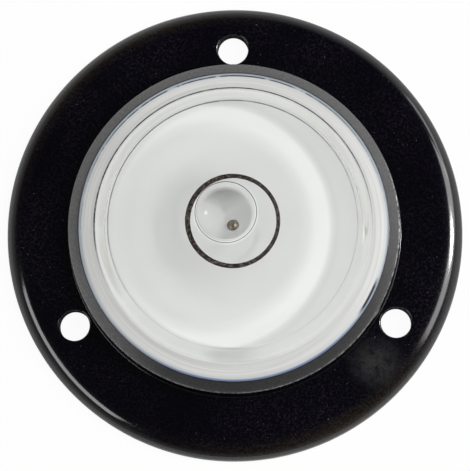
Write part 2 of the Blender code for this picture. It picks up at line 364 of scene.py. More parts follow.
from_smudge = round_axis(tree, SMUDGE_SPOT)[0]
smudge = times(tree, ramp(tree, from_smudge, [(0.6, 1.0), (4.4, 0.0)], 0.0, 6.0, "EASE"),
               ramp(tree, noise(tree, here, 0.9, 5.0, 0.75), [(0.34, 0.15), (0.6, 1.0)]))
paint = blend(tree, smudge, paint, SMUDGE)

# The chamfer's painted reflection, with the paint's grain in it
on_chamfer = times(tree, ramp(tree, distance, band(20.16, 20.24, 21.5, 21.56), 20.0, 22.0),
                   ramp(tree, height, [(6.95, 0.0), (7.05, 1.0)], 6.0, 8.4))
chamfer_reflection = times(tree, ramp(tree, turn, CHAMFER_REFLECTION_BY_TURN), ramp(tree, grain, [(0.36, 0.8), (0.64, 1.15)]))
paint = blend(tree, on_chamfer, paint, chamfer_reflection)

# Wear at the corner, with a painted highlight on the right
wear_and_highlight = times(tree, ramp(tree, distance, band(21.38, 21.46, 21.58, 21.64), 21.0, 22.0),
             ramp(tree, height, band(6.7, 6.85, 7.15, 7.25), 6.0, 8.0),
             ramp(tree, turn, WORN_AND_HIGHLIGHT_BY_TURN),
             ramp(tree, noise(tree, here, 1.8, 3.0, 0.7), [(0.4, 0.0), (0.6, 1.0)]))
paint = blend(tree, wear_and_highlight, paint, WORN_AND_HIGHLIGHT)
tree.links.new(paint, shader.inputs["Base Color"])
print(black_paint.name, len(tree.nodes), "nodes")

# %% [markdown]
# ## The dry paint in the holes
# The walls of the screw holes are deep and narrow, so they got only a dry mist of the spray. Gloss
# there would mirror the white floor. A second, rough black with a fine grain stands for the mist.

# %% Mix the dry black
MIST_DARK = (0.002, 0.002, 0.003)
MIST_PALE = (0.009, 0.008, 0.008)

dull_black, tree, shader = new_finish("dull_black", (0.004, 0.0038, 0.0045), 0.75, ior=1.2)
dry = ramp(tree, noise(tree, place(tree), 4.0, 3.0, 0.6), [(0.35, 0.0), (0.65, 1.0)])
tree.links.new(blend(tree, dry, MIST_DARK, MIST_PALE), shader.inputs["Base Color"])
bump(tree, shader, dry, 0.4, 0.02)
print(dull_black.name, len(tree.nodes), "nodes")

# %% [markdown]
# ## The housing
# A turned metal ring: a flange with a rounded rim, three screw holes, and a raised boss with a 45
# degree chamfer round the bore. The holes could be cut with a Boolean modifier, but that leaves long
# slivers whose shading shows in gloss paint. Here the boss, the rim and the three holes are spun on
# their own, each ending in an open loop, and the flat faces between the loops are filled. The loops
# are marked sharp, so that the flats shade truly flat.

# %% Draw the outlines of the boss, the rim and a hole
FLANGE_RADIUS = 30.0
RIM_ROUND_WIDE = 3.3
RIM_ROUND_HIGH = 2.2
FOOT_CHAMFER = 0.2
MOUTH_RADIUS = 18.0
LEDGE_HEIGHT = 2.0
BOSS_HEIGHT = 8.4
BOSS_CHAMFER = 1.42
BOSS_FOOT = 21.75
BOSS_FILLET = 0.15
HOLE_RADIUS = 2.0
HOLE_EDGE_ROUND = 0.26
BORE_EDGE_ROUND = 0.06
BOSS_EDGE_ROUND = 0.08

boss = [
    (MOUTH_RADIUS, 0.0),
    (MOUTH_RADIUS, LEDGE_HEIGHT),
    (BORE_RADIUS, LEDGE_HEIGHT),
    (BORE_RADIUS, BOSS_HEIGHT, BORE_EDGE_ROUND),
    (BORE_RADIUS + BOSS_CHAMFER, BOSS_HEIGHT - BOSS_CHAMFER, BOSS_EDGE_ROUND),
]
boss += arc(BOSS_FOOT + BOSS_FILLET, FLANGE_THICKNESS + BOSS_FILLET, BOSS_FILLET, 180, 270, 6)
rim = [(FLANGE_RADIUS + (r - 1.0) * RIM_ROUND_WIDE, FLANGE_THICKNESS + (z - 1.0) * RIM_ROUND_HIGH)
       for r, z in arc(0.0, 0.0, 1.0, 90, 0, 32)]
rim += [(FLANGE_RADIUS, FOOT_CHAMFER), (FLANGE_RADIUS - FOOT_CHAMFER, 0.0)]
hole = arc(HOLE_RADIUS + HOLE_EDGE_ROUND, FLANGE_THICKNESS - HOLE_EDGE_ROUND, HOLE_EDGE_ROUND, 90, 180, 6)
hole += arc(HOLE_RADIUS + HOLE_EDGE_ROUND, HOLE_EDGE_ROUND, HOLE_EDGE_ROUND, 180, 270, 6)
print("corners: boss", len(boss), "rim", len(rim), "hole", len(hole))

# %% Spin them, and fill the flats between them
HOLE_CIRCLE_RADIUS = 24.3
HOLE_ANGLES = (90.0, 210.0, 330.0)
HOUSING_STEPS = 288
HOLE_STEPS = 72


def rounded(point):
    """A corner's place to a tenth of a micrometre, so that two corners can be compared."""
    return tuple(round(v, 7) for v in point)


maker = bmesh.new()
spin_outline(maker, boss, closed=False, steps=HOUSING_STEPS)
spin_outline(maker, rim, closed=False, steps=HOUSING_STEPS)
for angle in HOLE_ANGLES:
    turned_by = math.radians(angle)
    spot = (HOLE_CIRCLE_RADIUS * math.cos(turned_by), HOLE_CIRCLE_RADIUS * math.sin(turned_by))
    spin_outline(maker, hole, closed=False, steps=HOLE_STEPS, centre=spot)
bmesh.ops.remove_doubles(maker, verts=maker.verts, dist=MERGE_WITHIN * MM)
flat_corners = set()
for level in (FLANGE_THICKNESS * MM, 0.0):
    loops = [edge for edge in maker.edges if edge.is_boundary
             and all(abs(v.co.z - level) < 0.001 * MM for v in edge.verts)]
    flat_corners.update(rounded(v.co) for edge in loops for v in edge.verts)
    bmesh.ops.triangle_fill(maker, use_beauty=True, edges=loops)
housing_mesh = to_mesh(maker, "housing")
add_piece(housing_mesh, "painted_housing", [black_paint, dull_black], "mounting_flange")
print("flat loops with", len(flat_corners), "corners")

# %% Mark the flats' loops sharp, and give the holes' walls the dry black
UPRIGHT = 0.02

on_a_flat = [rounded(v.co) in flat_corners for v in housing_mesh.vertices]
sharp = housing_mesh.attributes["sharp_edge"]
for edge in housing_mesh.edges:
    if all(on_a_flat[end] for end in edge.vertices):
        sharp.data[edge.index].value = True
for face in housing_mesh.polygons:
    away = math.hypot(face.center.x, face.center.y) / MM
    by_a_hole = abs(away - HOLE_CIRCLE_RADIUS) < HOLE_RADIUS + HOLE_EDGE_ROUND
    if by_a_hole and abs(face.normal.z) < UPRIGHT:
        face.material_index = 1
print("dry faces", sum(1 for face in housing_mesh.polygons if face.material_index == 1))

# %% [markdown]
# ## The white plastic
# The cup is a white moulding with a satin skin. What shows of it is three bands: its floor under the
# spirit, a narrow land that the lens stands on, and its rim. A crescent of light lies on the floor,
# where the lens's rounded edge gathers the lamp, with a wider glow inside it, and the bubble throws a
# faint shade and a glint there. The floor's corner by the cavity's wall lies in shade, most of all at
# the front left. Tracing such gathered light takes very many samples, so all of this is painted light
# and shade, laid on as tones by distance and turn.

# %% Light the cup's floor
FLOOR_WHITE = (0.68, 0.69, 0.672)
FLOOR_LIT = (0.8, 0.812, 0.797)
CRESCENT_CENTRE = (-3.5, -0.1, 0.0)
CRESCENT = [
    (0.0, 0.83), (11.6, 0.83), (12.8, 0.9), (13.7, 0.985), (14.4, 1.0), (15.3, 1.0), (15.75, 0.86),
    (16.3, 0.79), (17.0, 0.84), (19.9, 0.84)
]
INNER_GLOW = [(9.2, 0.0), (10.6, 0.035), (12.2, 0.035), (13.2, 0.0)]
CORNER_SHADE_BY_TURN = [
    (0.0, 0.05), (0.09, 0.07), (0.13, 0.17), (0.23, 0.2), (0.28, 0.04), (0.31, 0.0), (0.7, 0.0),
    (0.77, 0.09), (0.88, 0.13), (1.0, 0.05)
]
BUBBLE_SHADE = (-1.05, -0.61, 0.0)
BUBBLE_SHADE_BY_TURN = [(0.27, 0.0), (0.33, 0.06), (0.47, 0.09), (0.53, 0.0)]
BUBBLE_GLINT = (-3.67, 1.72, 0.0)

white_plastic, tree, shader = new_finish("white_plastic", FLOOR_WHITE, 0.42, ior=1.46)
distance, height, turn = round_axis(tree)
light = ramp(tree, round_axis(tree, CRESCENT_CENTRE)[0], CRESCENT, 0.0, 20.0)
# Painted light: a wider glow inside the crescent
light = math_node(tree, "ADD", light, ramp(tree, distance, INNER_GLOW, 0.0, 20.0))
clouds = noise(tree, place(tree), 0.25, 3.0)
light = math_node(tree, "ADD", light, ramp(tree, clouds, [(0.3, 0.0), (0.7, 0.02)]))
# Painted shade in the floor's corner by the cavity's wall
corner_shade = ramp(tree, distance, [(15.0, 0.0), (15.5, 1.0)], 14.0, 17.0)
corner_shade = times(tree, corner_shade, ramp(tree, turn, CORNER_SHADE_BY_TURN))
light = math_node(tree, "SUBTRACT", light, corner_shade)
from_shade, shade_turn = round_axis(tree, BUBBLE_SHADE)[::2]
shade = times(tree, ramp(tree, from_shade, band(3.5, 3.9, 4.1, 4.6), 0.0, 6.0),
              ramp(tree, shade_turn, BUBBLE_SHADE_BY_TURN))
light = math_node(tree, "SUBTRACT", light, shade)
from_glint = round_axis(tree, BUBBLE_GLINT)[0]
glint = ramp(tree, from_glint, [(0.12, 0.3), (0.42, 0.0)], 0.0, 2.0, "EASE")
light = math_node(tree, "ADD", light, glint)
floor_tone = tinted(tree, FLOOR_LIT, light)
print(white_plastic.name, len(tree.nodes), "nodes")

# %% [markdown]
# ### The land and the rim
# Both were faced on a lathe, which leaves fine rings. Noise that is read along the distance from the
# axis, and hardly along the turn, draws such rings. The rim is a little shaded beside the lens's wall.
# Towards the housing, where its rounded edge goes down into the cement, the rim is painted darker and
# bluish, as shade on that edge, and darkest at the front. The land and the rim are also painted lighter
# on the right, towards the lamp, and darker on the left and the front left, as painted light.

# %% Tone the land and the rim, with their painted light and shade
LAND_TONES = ((0.7, 0.705, 0.675), (0.78, 0.79, 0.77))
RIM_TONES = ((0.565, 0.565, 0.55), (0.665, 0.665, 0.65))
PLAIN = (1.0, 1.0, 1.0)
# Painted shade on the rim's rounded outer edge: darker and bluish towards the housing
EDGE_SHADE_BLUES = [(19.35, PLAIN), (19.75, (0.9, 0.935, 0.965)), (19.95, (0.62, 0.68, 0.76)),
              (20.12, (0.4, 0.45, 0.56))]
FRONT_SHADE_BLUE = (0.42, 0.5, 0.7)
FRONT_SHADE_BY_TURN = [(0.1, PLAIN), (0.22, FRONT_SHADE_BLUE), (0.36, FRONT_SHADE_BLUE), (0.43, PLAIN)]
# Painted light: the rim is lighter on the right, towards the lamp, and darker on the left
RIM_LIGHT_BY_TURN = [
    (0.0, 0.88), (0.1, 0.93), (0.25, 0.99), (0.35, 0.98), (0.5, 1.06), (0.62, 1.0), (0.72, 0.96),
    (0.84, 0.97), (0.92, 0.88), (1.0, 0.88)
]
# Painted light and shade: the land is lighter on the right and darker at the front left
LAND_LIGHT_BY_TURN = [
    (0.0, 0.86), (0.06, 0.84), (0.11, 0.72), (0.18, 0.7), (0.24, 0.82), (0.3, 1.02), (0.38, 1.02),
    (0.5, 1.04), (0.62, 0.98), (0.74, 0.9), (0.8, 0.9), (0.88, 0.82), (1.0, 0.86)
]

rings_at = tree.nodes.new("ShaderNodeCombineXYZ")
tree.links.new(distance, rings_at.inputs["X"])
tree.links.new(times(tree, turn, 1.2), rings_at.inputs["Y"])
lathe_rings = noise(tree, rings_at.outputs[0], 4.5, 2.0, 0.6)
land_tone = blend(tree, ramp(tree, lathe_rings, [(0.35, 0.0), (0.62, 1.0)]), *LAND_TONES)
land_tone = tinted(tree, land_tone, ramp(tree, turn, LAND_LIGHT_BY_TURN))
rim_tone = blend(tree, ramp(tree, lathe_rings, [(0.34, 0.0), (0.6, 1.0)]), *RIM_TONES)
edge_shade = ramp(tree, distance, EDGE_SHADE_BLUES, 19.0, 20.2)
at_edge = ramp(tree, distance, [(19.78, 0.0), (19.92, 1.0)], 19.0, 20.2)
edge_shade = blend(tree, at_edge, edge_shade, tinted(tree, edge_shade, ramp(tree, turn, FRONT_SHADE_BY_TURN)))
rim_tone = tinted(tree, rim_tone, edge_shade)
by_the_wall = ramp(tree, distance, [(17.9, 0.9), (18.35, 0.91), (18.8, 1.0)], 17.0, 20.0)
rim_tone = tinted(tree, rim_tone, by_the_wall)
rim_tone = tinted(tree, rim_tone, ramp(tree, turn, RIM_LIGHT_BY_TURN))
on_land = ramp(tree, distance, [(16.15, 0.0), (16.2, 1.0)], 15.0, 21.0)
on_rim = ramp(tree, height, [(7.6, 0.0), (7.8, 1.0)], 6.0, 9.0)
tone = blend(tree, on_rim, blend(tree, on_land, floor_tone, land_tone), rim_tone)
bump(tree, shader, lathe_rings, 0.12, 0.02)
print(white_plastic.name, len(tree.nodes), "nodes")

# %% [markdown]
# ### The seam to the housing
# The cement round the rim has drawn in a little: a dark seam runs along the back, broken here and
# there, and at the front right one short gap is open.

# %% Draw the seam and the gap
SEAM_TONE = (0.025, 0.032, 0.045)
SEAM_BY_TURN = [
    (0.0, 0.3), (0.08, 0.05), (0.5, 0.0), (0.58, 0.5), (0.64, 0.8), (0.72, 1.0), (0.86, 1.0),
    (0.93, 0.5), (1.0, 0.3)
]
GAP_BY_TURN = band(0.399, 0.41, 0.434, 0.445)

seam = times(tree, ramp(tree, distance, band(19.68, 19.75, 19.85, 19.92), 19.0, 20.2),
             ramp(tree, turn, SEAM_BY_TURN),
             ramp(tree, noise(tree, place(tree), 0.9, 3.0), [(0.36, 0.2), (0.5, 1.0)]))
gap = times(tree, ramp(tree, distance, band(19.56, 19.66, 19.9, 19.94), 19.0, 20.2),
            ramp(tree, turn, GAP_BY_TURN))
tone = blend(tree, math_node(tree, "MAXIMUM", seam, gap), tone, SEAM_TONE)
tree.links.new(tone, shader.inputs["Base Color"])
print(white_plastic.name, len(tree.nodes), "nodes")

# %% [markdown]
# ## The white cup
# The cup's floor is what shines white through the spirit. Its rim stands round the lens and fills the
# bore, its foot rests on the housing's ledge, and a small hole in its middle, with a round seat for a
# ball, is where the spirit went in. Where the clear lens is bonded to the cup no air is left between
# them, so the white surface is set a few hundredths of a millimetre into the lens: then no ray meets a
# film of air that isn't there.

# %% Spin the white cup
BONDED = 0.03
CUP_RADIUS = BORE_RADIUS - 0.02
RIM_HEIGHT = 8.3
CUP_FOOT = 2.3
RECESS_RADIUS = 13.0
RECESS_HEIGHT = 4.3
FILLING_HOLE_RADIUS = 0.5
BALL_CENTRE = 6.9
SEAT_RADIUS = 0.77
SEAT_FOOT = 6.34
SEAT_MOUTH = 0.767
RIM_EDGE_ROUND = 0.05
FOOT_EDGE_ROUND = 0.2
RECESS_CORNER_ROUND = 0.3

cup = [
    (LENS_RADIUS - BONDED, RIM_HEIGHT),
    (CUP_RADIUS, RIM_HEIGHT, RIM_EDGE_ROUND),
    (CUP_RADIUS, CUP_FOOT, FOOT_EDGE_ROUND),
    (RECESS_RADIUS, CUP_FOOT, FOOT_EDGE_ROUND),
    (RECESS_RADIUS, RECESS_HEIGHT, RECESS_CORNER_ROUND),
    (FILLING_HOLE_RADIUS, RECESS_HEIGHT),
    (FILLING_HOLE_RADIUS, SEAT_FOOT),
]
cup += arc(0.0, BALL_CENTRE, SEAT_RADIUS, -49, 5, 5)
cup += [
    (SEAT_MOUTH, FLOOR_HEIGHT),
    (CAVITY_RADIUS + BONDED, FLOOR_HEIGHT),
    (CAVITY_RADIUS + BONDED, FLOOR_HEIGHT + BONDED),
    (LENS_RADIUS - BONDED, FLOOR_HEIGHT + BONDED),
]
maker = bmesh.new()
spin_outline(maker, cup, closed=True)
add_piece(to_mesh(maker, "cup"), "white_cup", [white_plastic], "vial_base")

# %% [markdown]
# ## Clear materials that let the lamps through
# A real lens and its spirit lead a lamp's light down to the cup's floor along bent paths, which a path
# tracer finds only by luck. So each clear material here is glass to the camera, and to every ray of a
# reflection, and lets a lamp's straight ray pass. Where the spirit wets the lens, light passes from
# acrylic to spirit, and their true ratio is 1.49 to 1.36. At that ratio a ray that runs along the
# cavity's wall is thrown back or let through by chance, which draws ragged streaks over the lens's
# edge. A ratio of nearly 1 lets every ray through, and the wetted faces can hardly be seen anyway.

# %% Mix the clear acrylic and the wet acrylic
ACRYLIC_IOR = 1.49
WET_RATIO = 1.004
NO_TINT = (1.0, 1.0, 1.0)


def clear_finish(name, ior):
    """Glass for every ray but a lamp's, which passes straight through."""
    finish, tree, shader = new_finish(name, NO_TINT, 0.0, ior=ior)
    shader.inputs["Transmission Weight"].default_value = 1.0
    path = tree.nodes.new("ShaderNodeLightPath")
    lamp_ray = math_node(tree, "MAXIMUM", path.outputs["Is Shadow Ray"], path.outputs["Is Diffuse Ray"])
    through = tree.nodes.new("ShaderNodeBsdfTransparent")
    through.inputs["Color"].default_value = (*NO_TINT, 1.0)
    choose = tree.nodes.new("ShaderNodeMixShader")
    tree.links.new(lamp_ray, choose.inputs[0])
    tree.links.new(shader.outputs[0], choose.inputs[1])
    tree.links.new(through.outputs[0], choose.inputs[2])
    tree.links.new(choose.outputs[0], tree.nodes["Material Output"].inputs["Surface"])
    return finish, tree, shader


clear_acrylic = clear_finish("clear_acrylic", ACRYLIC_IOR)[0]
wet_acrylic = clear_finish("wet_acrylic", WET_RATIO)[0]
print(clear_acrylic.name, wet_acrylic.name)

# %% [markdown]
# ## The lens
# One clear moulding: a shallow dome, a wide rounded edge, an upright wall, and underneath the cavity's
# wall and ceiling. It could be two domes with a rim between them, but seams in glass show. So it is
# spun from one outline, with finer steps than the other pieces. The faces that the spirit wets, the
# cavity's wall and ceiling, get the wet acrylic.

# %% Draw the lens's outline
LENS_EDGE_ROUND = 1.9
CAVITY_CORNER_ROUND = 0.4


def edge_of_dome(outer_radius, edge_round, top, radius):
    """Centre of the arc that rounds a dome's edge off, and the dome's slope there in degrees."""
    r = outer_radius - edge_round
    z = dome_height(r, top - edge_round, radius - edge_round)
    return r, z, math.degrees(math.asin(r / (radius - edge_round)))


edge_r, edge_z, edge_slope = edge_of_dome(LENS_RADIUS, LENS_EDGE_ROUND, LENS_TOP, DOME_RADIUS)
rounding = arc(edge_r, edge_z, LENS_EDGE_ROUND, 90 - edge_slope, 0, 28)
corner_r, corner_z, corner_slope = edge_of_dome(CAVITY_RADIUS, CAVITY_CORNER_ROUND, CEILING_TOP,
                                                CEILING_RADIUS)
cavity_corner = arc(corner_r, corner_z, CAVITY_CORNER_ROUND, 0, 90 - corner_slope, 16)
lens_outline = dome(0.0, rounding[0][0], LENS_TOP, DOME_RADIUS, 30)[:-1] + rounding
lens_outline += [(LENS_RADIUS, FLOOR_HEIGHT), (CAVITY_RADIUS, FLOOR_HEIGHT)]
lens_outline += cavity_corner[:-1] + dome(cavity_corner[-1][0], 0.0, CEILING_TOP, CEILING_RADIUS, 30)
print("lens outline with", len(lens_outline), "corners")

# %% Spin the lens, and wet the cavity's faces
LENS_STEPS = 512
UNDER_THE_DOME = 0.9

maker = bmesh.new()
spin_outline(maker, lens_outline, closed=False, steps=LENS_STEPS)
lens_mesh = to_mesh(maker, "lens")
lens = add_piece(lens_mesh, "clear_lens", [clear_acrylic, wet_acrylic], "vial_lens")
for face in lens_mesh.polygons:
    away = math.hypot(face.center.x, face.center.y) / MM
    dome_above = dome_height(away, LENS_TOP, DOME_RADIUS)
    if away < CAVITY_RADIUS + 0.005 and face.center.z / MM < dome_above - UNDER_THE_DOME:
        face.material_index = 1
print("wet faces", sum(1 for face in lens_mesh.polygons if face.material_index == 1))

# %% [markdown]
# ## The two dark hairlines
# Two dark hairlines run round the clear moulding: one where its wall turns over into the rounded edge,
# and one at the corner of the cavity. Their darkness is painted shade, where these edges look dark
# from above: dark at the back and on the left, and dying away at the front. They could be painted on
# the lens, but glass at a grazing angle shows its reflection and hides the paint. Rings of their own, a
# tenth of a millimetre thick, show from all sides. They stand only for shade, so these rings throw no
# shadow.

# %% Mix the hairlines' painted shade
OUTER_DARK = (0.012, 0.015, 0.026)
OUTER_UNSHADED = (0.6, 0.61, 0.6)
INNER_DARK = (0.07, 0.07, 0.065)
INNER_UNSHADED = (0.7, 0.705, 0.69)
# Painted shade by turn: the hairlines are dark at the back and on the left and fade at the front
OUTER_LINE_BY_TURN = [
    (0.0, 0.95), (0.042, 0.45), (0.083, 0.1), (0.14, 0.0), (0.45, 0.0), (0.5, 0.15), (0.542, 0.6),
    (0.583, 0.95), (0.63, 1.0), (0.78, 0.95), (1.0, 0.95)
]
INNER_LINE_BY_TURN = [
    (0.0, 0.6), (0.06, 0.4), (0.12, 0.15), (0.2, 0.0), (0.25, 0.3), (0.28, 0.0), (0.44, 0.25),
    (0.56, 0.45), (0.67, 0.75), (0.85, 0.85), (1.0, 0.6)
]

hairline_finish, tree, shader = new_finish("hairline_shade", (0.02, 0.024, 0.035), 0.7, ior=1.2)
distance, turn = round_axis(tree)[::2]
broken = ramp(tree, noise(tree, place(tree), 0.8, 3.0), [(0.36, 0.78), (0.5, 1.0)])
# The hairlines' painted shade, broken up by noise
outer_shade = times(tree, ramp(tree, turn, OUTER_LINE_BY_TURN), broken)
inner_shade = times(tree, ramp(tree, turn, INNER_LINE_BY_TURN), broken)
outer_tone = blend(tree, outer_shade, OUTER_UNSHADED, OUTER_DARK)
inner_tone = blend(tree, inner_shade, INNER_UNSHADED, INNER_DARK)
on_outer = ramp(tree, distance, [(17.0, 0.0), (17.05, 1.0)], 16.0, 19.0)
tree.links.new(blend(tree, on_outer, inner_tone, outer_tone), shader.inputs["Base Color"])
print(hairline_finish.name, len(tree.nodes), "nodes")

# %% Spin the two hairlines
# Inner and outer radius, lower and upper height, and the centre
OUTER_LINE = (17.8, 18.07, 9.4, 9.56, (-0.03, 0.0))
INNER_LINE = (15.76, 15.94, 8.86, 8.98, (-0.08, 0.15))

maker = bmesh.new()
for inside, outside, low, high, centre in (OUTER_LINE, INNER_LINE):
    section = [(inside, low), (inside, high), (outside, high), (outside, low)]
    spin_outline(maker, section, closed=True, steps=360, centre=centre)
hairlines = add_piece(to_mesh(maker, "hairlines"), "shaded_hairlines", [hairline_finish], "vial_lens")
hairlines.visible_shadow = False

# %% [markdown]
# ## The spirit's skin
# The spirit is seen only where it ends: at the lens, on the cup's floor, and at its bubble. The first
# two are done, so the piece that stands for the spirit is the bubble's skin. It is clear, but light
# that crosses it is bent away or gathered, so the bubble looks bright at the left, and shaded at the
# back and on the right. That takes very many samples too, so a tint by place on the skin stands for it.

# %% Mix the spirit
SPIRIT_IOR = 1.36
BUBBLE_SPOT = (-0.87, 1.27)
TINT_CENTRE = (BUBBLE_SPOT[0] - 0.05, BUBBLE_SPOT[1] - 0.17, 0.0)
BUBBLE_MIDDLE = (0.872, 0.872, 0.862)
BUBBLE_BY_TURN = [
    (0.0, 0.98), (0.083, 0.99), (0.167, 0.96), (0.25, 0.79), (0.333, 0.74), (0.417, 0.775),
    (0.5, 0.785), (0.583, 0.805), (0.667, 0.725), (0.75, 0.68), (0.8, 0.69), (0.84, 0.76),
    (0.875, 0.85), (0.917, 0.92), (1.0, 0.98)
]
DEEP_TINT = (0.8, 0.79, 0.76)
DEEP_BY_TURN = [(0.6, 0.0), (0.72, 0.85), (0.8, 1.0), (0.87, 0.9), (0.92, 0.0)]

spirit, tree, shader = clear_finish("clear_spirit", SPIRIT_IOR)
from_bubble, turn = round_axis(tree, TINT_CENTRE)[::2]
outwards = ramp(tree, from_bubble, [(0.0, 0.0), (0.3, 0.45), (1.0, 0.78), (2.6, 1.0)], 0.0, 4.5)
tint = blend(tree, outwards, BUBBLE_MIDDLE, ramp(tree, turn, BUBBLE_BY_TURN))
deep = times(tree, ramp(tree, from_bubble, [(1.3, 0.0), (3.0, 1.0)], 0.0, 4.5),
             ramp(tree, turn, DEEP_BY_TURN))
tint = blend(tree, deep, tint, tinted(tree, tint, DEEP_TINT))
past_the_shade = ramp(tree, from_bubble, [(3.26, 0.0), (3.48, 1.0)], 0.0, 4.5)
tree.links.new(blend(tree, past_the_shade, tint, NO_TINT), shader.inputs["Base Color"])
print(spirit.name, len(tree.nodes), "nodes")

# %% [markdown]
# ## The bubble
# A flattened ball of air, 8 mm across, that presses on the ceiling. It starts as a sphere from bmesh,
# which is made flat above and below and keeps a round side, as surface tension does with a wide
# bubble. Its faces point into the air, because the spirit is the solid side.

# %% Shape the bubble
BUBBLE_RADIUS = 4.02
BUBBLE_OVER = 0.75
BUBBLE_UNDER = 1.15
BUBBLE_FULLNESS = 3.4
FILM = 0.03
POLE = 1e-6

maker = bmesh.new()
bmesh.ops.create_uvsphere(maker, u_segments=160, v_segments=96, radius=1.0)
under_ceiling = CEILING_RADIUS - FILM
for vert in maker.verts:
    out = math.hypot(vert.co.x, vert.co.y)
    wider = out ** (2 / BUBBLE_FULLNESS) / out if out > POLE else 0.0
    vert.co.x *= BUBBLE_RADIUS * wider
    vert.co.y *= BUBBLE_RADIUS * wider
    tall = BUBBLE_OVER if vert.co.z > 0.0 else BUBBLE_UNDER
    level = math.copysign(tall * abs(vert.co.z) ** (2 / BUBBLE_FULLNESS), vert.co.z)
    ceiling = math.sqrt(under_ceiling**2 - vert.co.x**2 - vert.co.y**2)
    vert.co.z = ceiling - BUBBLE_OVER + level
up = Vector((*BUBBLE_SPOT, math.sqrt(CEILING_RADIUS**2 - BUBBLE_SPOT[0] ** 2 - BUBBLE_SPOT[1] ** 2)))
leaning = Vector((0.0, 0.0, 1.0)).rotation_difference(up.normalized()).to_matrix().to_4x4()
to_ceiling = Matrix.Translation((0.0, 0.0, (CEILING_TOP - CEILING_RADIUS) * MM)) @ leaning
maker.transform(to_ceiling @ Matrix.Scale(MM, 4))
bmesh.ops.recalc_face_normals(maker, faces=maker.faces)
bmesh.ops.reverse_faces(maker, faces=maker.faces)
bubble_mesh = bpy.data.meshes.new("bubble")
maker.to_mesh(bubble_mesh)
maker.free()
bubble = add_piece(bubble_mesh, "spirit_bubble", [spirit], "vial_spirit", sharp=60.0)

# %% [markdown]
# ### The bubble's outline
# Where the bubble's side curves away, its skin throws the light aside: a thin dark circle with a bright
# band on both sides, and a second, fainter circle inside it along the front. Ray tracing gives only a
# smear of that at this size. So the outline is laid in as flat rings in the film under the ceiling.

# %% Mix the tones of the two outlines
OUTLINE_RADIUS = 3.9
LINE_HALF = 0.035
LINE_FADE = 0.025
BRIGHT_BY_TURN = [
    (0.0, 0.84), (0.1, 0.92), (0.22, 0.99), (0.4, 0.99), (0.52, 0.9), (0.64, 0.8), (0.8, 0.78),
    (1.0, 0.84)
]
OUTSIDE_BRIGHT = (0.755, 0.76, 0.745)
LINE_BY_TURN = [(0.0, 0.14), (0.08, 0.17), (0.16, 0.14), (0.22, 0.09), (0.9, 0.09), (1.0, 0.14)]
SECOND_SHIFT = 0.17
SECOND_BY_TURN = [(0.0, 0.38), (0.1, 0.45), (0.2, 0.78), (0.5, 0.8), (0.8, 0.72), (1.0, 0.38)]

outline_finish, tree, shader = new_finish("bubble_outline", (0.8, 0.8, 0.8), 0.6, ior=1.2)
from_bubble, turn = round_axis(tree, (*BUBBLE_SPOT, 0.0))[::2]
outside_line = ramp(tree, from_bubble, [(OUTLINE_RADIUS, 0.0), (OUTLINE_RADIUS + 0.02, 1.0)], 3.5, 4.5)
bright = blend(tree, outside_line, ramp(tree, turn, BRIGHT_BY_TURN), OUTSIDE_BRIGHT)
line_inside, line_outside = OUTLINE_RADIUS - LINE_HALF, OUTLINE_RADIUS + LINE_HALF
on_line = ramp(tree, from_bubble, band(line_inside - LINE_FADE, line_inside, line_outside,
                                       line_outside + LINE_FADE), 3.5, 4.5)
tree.links.new(blend(tree, on_line, bright, ramp(tree, turn, LINE_BY_TURN)), shader.inputs["Base Color"])

second_finish, tree, shader = new_finish("bubble_second_outline", (0.4, 0.4, 0.4), 0.6, ior=1.2)
turn = round_axis(tree, (BUBBLE_SPOT[0], BUBBLE_SPOT[1] + SECOND_SHIFT, 0.0))[2]
tree.links.new(ramp(tree, turn, SECOND_BY_TURN), shader.inputs["Base Color"])
print(outline_finish.name, second_finish.name)

# %% Lay the two outlines under the ceiling
BRIGHT_INSIDE = OUTLINE_RADIUS - 0.13
BRIGHT_OUTSIDE = OUTLINE_RADIUS + 0.28
SECOND_RADIUS = 3.7
SECOND_HALF = 0.03
SECOND_UNDER = 0.03
OUTLINE_THICKNESS = 0.01


def lay_outline(name, finish, inside, outside, shift, under):
    """A flat ring in the film, shifted back from the bubble's middle and lowered by a little."""
    section = [(r, math.sqrt(under_ceiling**2 - r**2) - under + lift)
               for r, lift in ((inside, OUTLINE_THICKNESS), (outside, OUTLINE_THICKNESS),
                               (outside, 0.0), (inside, 0.0))]
    maker = bmesh.new()
    spin_outline(maker, section, closed=True, centre=(0.0, shift))
    maker.transform(to_ceiling)
    add_piece(to_mesh(maker, name), name, [finish], "vial_spirit")


lay_outline("bubble_outline", outline_finish, BRIGHT_INSIDE, BRIGHT_OUTSIDE, 0.0, 0.0)
lay_outline("bubble_second_outline", second_finish, SECOND_RADIUS - SECOND_HALF,
            SECOND_RADIUS + SECOND_HALF, SECOND_SHIFT, SECOND_UNDER)

# %% [markdown]
# ## The target ring
# A thin circle printed on the dome, dark brown-black, with edges that the ink has drawn in and out. A
# tone on the lens would fade in its reflections, so it is a shallow band on the dome. Smooth noise
# moves its two edges by a few hundredths of a millimetre, its inner edge lies a little to the right,
# which makes the line thinner there, and a speckle in the ink lets some grey through.

# %% Mix the ink
INK_DARK = (0.009, 0.007, 0.006)
INK_GREY = (0.115, 0.095, 0.08)

ink, tree, shader = new_finish("ring_ink", (0.012, 0.01, 0.009), 0.6, ior=1.3)
speckle = ramp(tree, noise(tree, place(tree), 4.2, 2.0, 0.6), [(0.46, 0.0), (0.64, 1.0)])
tree.links.new(blend(tree, speckle, INK_DARK, INK_GREY), shader.inputs["Base Color"])
bump(tree, shader, speckle, 0.3, 0.01)
print(ink.name, len(tree.nodes), "nodes")

